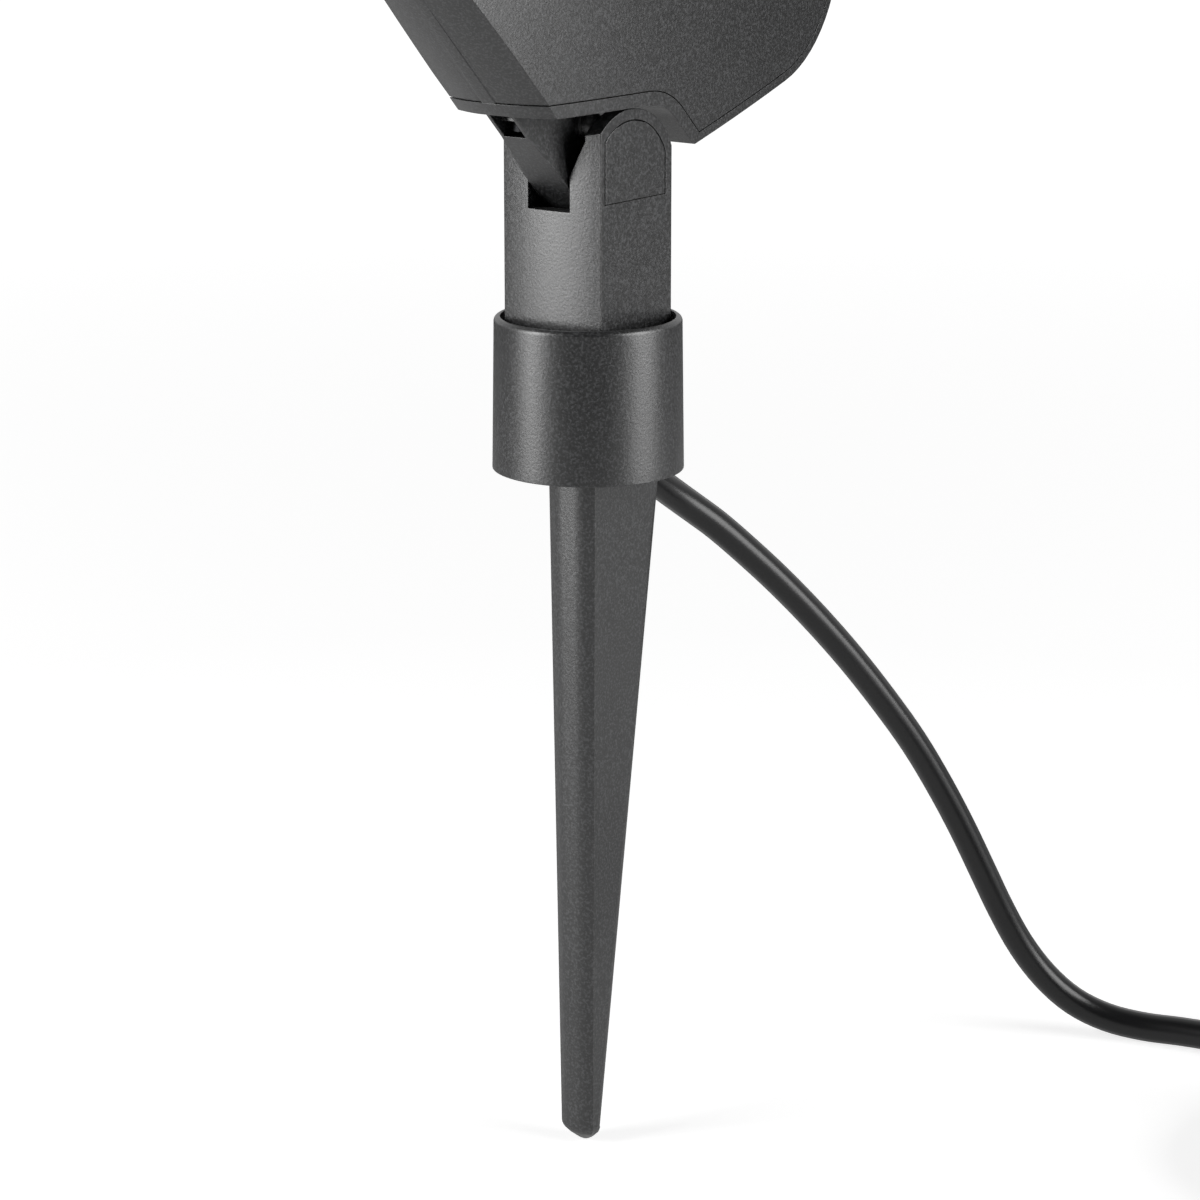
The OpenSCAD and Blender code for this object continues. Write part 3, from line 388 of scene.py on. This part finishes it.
bmesh.ops.create_cube(bm, size=1, matrix=Matrix.Translation(tab_middle * MM)
                      @ Matrix.Diagonal((tie_w * MM, tie_tab_l * MM, tie_tab_t * MM, 1)))
to_coil = Matrix.Translation(Vector((*coil_centre, floor_z)) * MM)
bmesh.ops.transform(bm, matrix=to_coil @ Matrix.Rotation(math.pi, 4, "Z"), verts=bm.verts)
coil_strap = add_mesh("coil_strap", bm, tie_fabric)
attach(coil_strap, "root")
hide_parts("cable_tie")


# Ground spike
# Moulded U channel with cross ribs inside and a rounded tip, screwed up into the collar's foot.
# Its shape is exact already, so it is copied with softened edges, the long front ones broadly.
def make_coat(name, dark, light, roughness, grain_mm, round_mm=0.3):
    """Charcoal with a fine texture, in which pale flecks show."""
    made, shader, place = new_material(name, roughness, 0.0, 1.0)
    tree = made.node_tree
    grain = noise(place, grain_mm, 2.0, 0.6)
    flecks = grain.node("ShaderNodeValToRGB", {"stops": [(0.43, 0.0), (0.53, 0.25), (0.62, 1.0)]},
                        {"Fac": grain})
    cloudy = noise(place, 14.0, 3.0)
    link(tree, shade_between(flecks * 0.85 + cloudy * 0.15, dark, light), shader.inputs["Base Color"])
    link(tree, roughness - 0.1 + 0.2 * grain, shader.inputs["Roughness"])
    link(tree, raise_bump(grain, 0.045, 1.0, round_mm), shader.inputs["Normal"])
    return made


coat_dark = (0.001, 0.001, 0.0012)
coat_fleck = (0.045, 0.046, 0.048)
coat_grain = 0.62
spike_plastic = make_coat("spike_plastic", coat_dark, coat_fleck, 0.36, coat_grain)


tip_low = (floor_z + 2.6) * MM
tip_high = (floor_z + 3.8) * MM


def draw_back(bm, other, reach_mm, gap_mm):
    """Sets back the faces that lie on another node, so that a fine dark joint shows."""
    data = nodes[other].data
    around = BVHTree.FromPolygons([v.co for v in data.vertices],
                                  [list(f.vertices) for f in data.polygons])
    pushed = {}
    for face in bm.faces:
        hits = [around.find_nearest(v.co) for v in face.verts]
        near = all(hit[3] < reach_mm * MM for hit in hits)
        if near and any(hit[1].dot(face.normal) < -0.9 for hit in hits):
            for v in face.verts:
                if all(n.dot(face.normal) < 0.999 for n in pushed.setdefault(v, [])):
                    pushed[v].append(face.normal.copy())
    for v, normals in pushed.items():
        step = np.linalg.lstsq(np.array(normals), np.full(len(normals), -gap_mm * MM), rcond=0.1)[0]
        v.co += Vector(step)


def round_off(bm, edges, width_mm, segments):
    bmesh.ops.bevel(bm, geom=edges, offset=width_mm * MM, offset_type="OFFSET", segments=segments,
                    profile=0.5, affect="EDGES", clamp_overlap=True, material=-1)


def long_blunt_edge(edge):
    long_enough = edge.calc_length() > 100 * MM
    return long_enough and 0.3 < edge.calc_face_angle(0) < 0.9 and edge.verts[0].co.y < 0


def tip_edge(edge):
    return edge.calc_face_angle(0) > 0.3 and all(tip_low < v.co.z < tip_high for v in edge.verts)


def sharp_edge(edge):
    return len(edge.link_faces) == 2 and edge.calc_face_angle(0) > math.radians(30)


def soften(name, node, width_mm, material, body, joint=None, broad_mm=0, tip_mm=0):
    """A copy of a node with rounded edges, which stands for it.

    joint names a node that it lies on, how near, and the gap to leave; broad_mm rounds its
    long blunt edges, and tip_mm the edges round its tip.
    """
    bm = bmesh.new()
    bm.from_mesh(nodes[node].data)
    bmesh.ops.remove_doubles(bm, verts=bm.verts, dist=1e-6)
    bmesh.ops.dissolve_limit(bm, angle_limit=math.radians(0.4), verts=bm.verts, edges=bm.edges)
    if joint:
        draw_back(bm, *joint)
    if tip_mm:
        round_off(bm, [e for e in bm.edges if tip_edge(e)], tip_mm, 4)
    if broad_mm:
        round_off(bm, [e for e in bm.edges if long_blunt_edge(e)], broad_mm, 4)
    round_off(bm, [e for e in bm.edges if sharp_edge(e)], width_mm, 2)
    bmesh.ops.triangulate(bm, faces=[f for f in bm.faces if len(f.verts) > 4])
    made = add_mesh(name, bm, material, 40)
    flatten = made.modifiers.new("even_normals", "WEIGHTED_NORMAL")
    flatten.keep_sharp = True
    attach(made, body)
    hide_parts(node)


soften("spike_moulding", "ground_spike", 0.3, spike_plastic, "root", broad_mm=1.8,
       tip_mm=1.5)


# Collar
# Aluminium cup that widens a little to its foot, powder coated. The stem stands and turns in it,
# and the spike's head is screwed up against its web.
powder_coat = make_coat("powder_coat", coat_dark, coat_fleck, 0.37, coat_grain)
soften("collar_casting", "collar", 0.25, powder_coat, "root")


# Stem and ear covers
# Hollow aluminium casting with two ears and a flared slot between them, powder coated. Two thin
# plates, round at the top, are pressed into its flats over the ends of the pivot bolt.
cover_gap = 0.15
soften("stem_casting", "stem", 0.35, powder_coat, "stem_body")
for side in ("right", "left"):
    soften(side + "_cover_plate", side + "_ear_cover", 0.1, powder_coat, "stem_body",
           ("stem", 0.2, cover_gap))


# Tilt arm and cross pin
# Aluminium casting that tilts between the stem's ears and carries the head, and the pin across
# it that stops the tilt in the stem's slot. Both are powder coated.
soften("arm_casting", "tilt_arm", 0.3, powder_coat, "head_body")
soften("cross_pin", "stop_pin", 0.1, powder_coat, "head_body")


# Head shell and bottom cover
# Two aluminium castings, powder coated: the shell with the crowned sides, and the bent cover
# that closes it below and behind. A fine dark joint runs between them.
seam_gap = 0.25
soften("shell_casting", "head_shell", 0.12, powder_coat, "head_body",
       ("bottom_cover", 0.05, seam_gap))
soften("cover_casting", "bottom_cover", 0.15, powder_coat, "head_body")


# Front bezel
# Aluminium frame round the window, powder coated, held to the shell by four small screws.
soften("bezel_casting", "front_bezel", 0.25, powder_coat, "head_body")


# Screws, bolts, washers and contacts
# Steel fixings, left bright, those in the arm's window near black as painted shade of that
# window, a nylon friction washer under the swivel nut, and two brass contact sleeves in the plug.
def make_metal(name, base, roughness, grain_mm):
    made, shader, place = new_material(name, roughness, 1.0)
    tree = made.node_tree
    grain = noise(place, grain_mm, 3.0)
    link(tree, shade_between(grain, [c * 0.85 for c in base], base), shader.inputs["Base Color"])
    link(tree, roughness - 0.08 + 0.16 * grain, shader.inputs["Roughness"])
    link(tree, raise_bump(grain, 0.01, 0.4), shader.inputs["Normal"])
    return made


def wear(material, *worn_by):
    """Gives one material to nodes that keep their own shape."""
    for node in worn_by:
        data = nodes[node].data
        data.materials.clear()
        data.materials.append(material)


wear(make_metal("steel", (0.55, 0.55, 0.56), 0.3, 0.8),
     "spike_screws", "swivel_nut", "pivot_bolt", "pivot_nut", "pivot_washers", "arm_plate",
     "cover_screws", "bezel_screws", "board_screws")
# Near-black steel for the screws in the arm's window: painted shade of that window.
wear(make_metal("window_shade_steel", (0.03, 0.03, 0.032), 0.5, 0.8), "arm_screws")
wear(make_metal("brass", (0.8, 0.6, 0.28), 0.25, 0.8), "plug_contacts")
wear(plug_plastic, "swivel_washer")


# Gland, seals and inner leads
# Soft black rubber: the gland round the cable, the seals of the cover, the arm and the glass,
# and thin leads up through the stem into the head.
wear(seal_rubber, "cable_gland", "base_lead", "stem_lead", "lead_seal", "head_lead", "cover_seal",
     "lens_seal")


# Light unit
# White moulded reflector and a white board with six light sources, behind toughened glass, on a
# finned heat spreader of bare aluminium.
wear(make_plastic("white_reflector", (0.82, 0.82, 0.8), 0.3), "reflector")
wear(make_plastic("board_white", (0.75, 0.75, 0.73), 0.45), "led_board")
wear(make_plastic("phosphor", (0.85, 0.68, 0.15), 0.35, 0.3), "led_chips")
wear(make_metal("bare_aluminium", (0.7, 0.71, 0.72), 0.4, 1.2), "heat_spreader")
glass, glass_shader, glass_place = new_material("lens_glass", 0.03)
glass_shader.inputs["Base Color"].default_value = (0.95, 0.97, 0.97, 1)
glass_shader.inputs["Transmission Weight"].default_value = 1.0
glass_shader.inputs["IOR"].default_value = 1.5
wear(glass, "lens_glass")


# Driver
# Green board with its black parts, on posts at the side of the head.
wear(make_plastic("board_green", (0.04, 0.18, 0.08), 0.4), "driver_board")
wear(make_plastic("component_black", (0.03, 0.03, 0.03), 0.5), "driver_parts")


# Floor, light and background
# A wide pale floor at the level of the spike's tip, and two tall soft lamps, one in front on
# the left and one on the right.
floor_material, floor_shader, floor_place = new_material("floor_white", 0.9, 0.0, 0.0)
floor_shader.inputs["Base Color"].default_value = (0.5, 0.5, 0.5, 1)
floor_shader.inputs["Emission Color"].default_value = (1, 1, 1, 1)


def seen_rays(tree):
    """1 for a ray of the camera, of a gloss or through glass, and 0 for one that lights."""
    paths = tree.nodes.new("ShaderNodeLightPath").outputs
    camera_ray, gloss_ray, glass_ray = [Wire(tree, paths["Is " + kind + " Ray"])
                                        for kind in ("Camera", "Glossy", "Transmission")]
    shine_ray = gloss_ray.math("MAXIMUM", gloss_ray, glass_ray)
    return camera_ray, camera_ray.math("MAXIMUM", camera_ray, shine_ray)


camera_ray, shine_ray = seen_rays(floor_material.node_tree)
far_off = floor_place.node("ShaderNodeVectorMath", {"operation": "LENGTH"}, {0: floor_place}, out=1)
to_camera = far_off.node("ShaderNodeMapRange", {}, {"Value": far_off, "From Min": 0.5, "From Max": 2.2,
                                                    "To Min": 0.74, "To Max": 1.05})
to_gloss = far_off.node("ShaderNodeMapRange", {}, {"Value": far_off, "From Min": 0.6, "From Max": 1.1,
                                                   "To Min": 0.3, "To Max": 0.0})
link(floor_material.node_tree, camera_ray * to_camera + (shine_ray - camera_ray) * to_gloss,
     floor_shader.inputs["Emission Strength"])
bm = bmesh.new()
bmesh.ops.create_grid(bm, x_segments=1, y_segments=1, size=12)
bmesh.ops.translate(bm, verts=bm.verts, vec=(0, 0, floor_z * MM))
floor_data = bpy.data.meshes.new("floor")
bm.to_mesh(floor_data)
bm.free()
floor_data.materials.append(floor_material)
floor = bpy.data.objects.new("floor", floor_data)
bpy.context.scene.collection.objects.link(floor)

world = bpy.data.worlds.new("studio")
bpy.context.scene.world = world
world.use_nodes = True
tree = world.node_tree
background = tree.nodes["Background"]
background.inputs["Color"].default_value = (1, 1, 1, 1)
direction = Wire(tree, tree.nodes.new("ShaderNodeTexCoord").outputs["Generated"])
behind = direction.node("ShaderNodeVectorMath", {"operation": "DOT_PRODUCT"},
                        {0: direction, 1: tuple(-away)}, out=1)
backdrop = behind.node("ShaderNodeValToRGB", {"stops": [(0.0, 0.06), (0.45, 0.12), (0.8, 0.8)]},
                       {"Fac": behind * 0.5 + 0.5})
camera_ray, shine_ray = seen_rays(tree)
ambient = 0.25
level = backdrop * (ambient + (1 - ambient) * shine_ray)
link(tree, camera_ray + (1 - camera_ray) * level, background.inputs["Strength"])


def soft_lamp(name, azimuth, rise, distance, width, height, power):
    """A tall soft lamp; azimuth 0 is in front of the lit side and +90 on the right."""
    a = math.radians(azimuth)
    e = math.radians(rise)
    out = Vector((math.sin(a) * math.cos(e), -math.cos(a) * math.cos(e), math.sin(e)))
    data = bpy.data.lights.new(name, "AREA")
    data.shape = "RECTANGLE"
    data.size = width
    data.size_y = height
    data.energy = power
    made = bpy.data.objects.new(name, data)
    made.location = out * distance
    made.rotation_mode = "QUATERNION"
    made.rotation_quaternion = (-out).to_track_quat("-Z", "Y")
    bpy.context.scene.collection.objects.link(made)


soft_lamp("left_lamp", -33, 10, 1.3, 0.6, 1.5, 25)
soft_lamp("right_lamp", 106, 10, 1.3, 0.75, 1.5, 22)
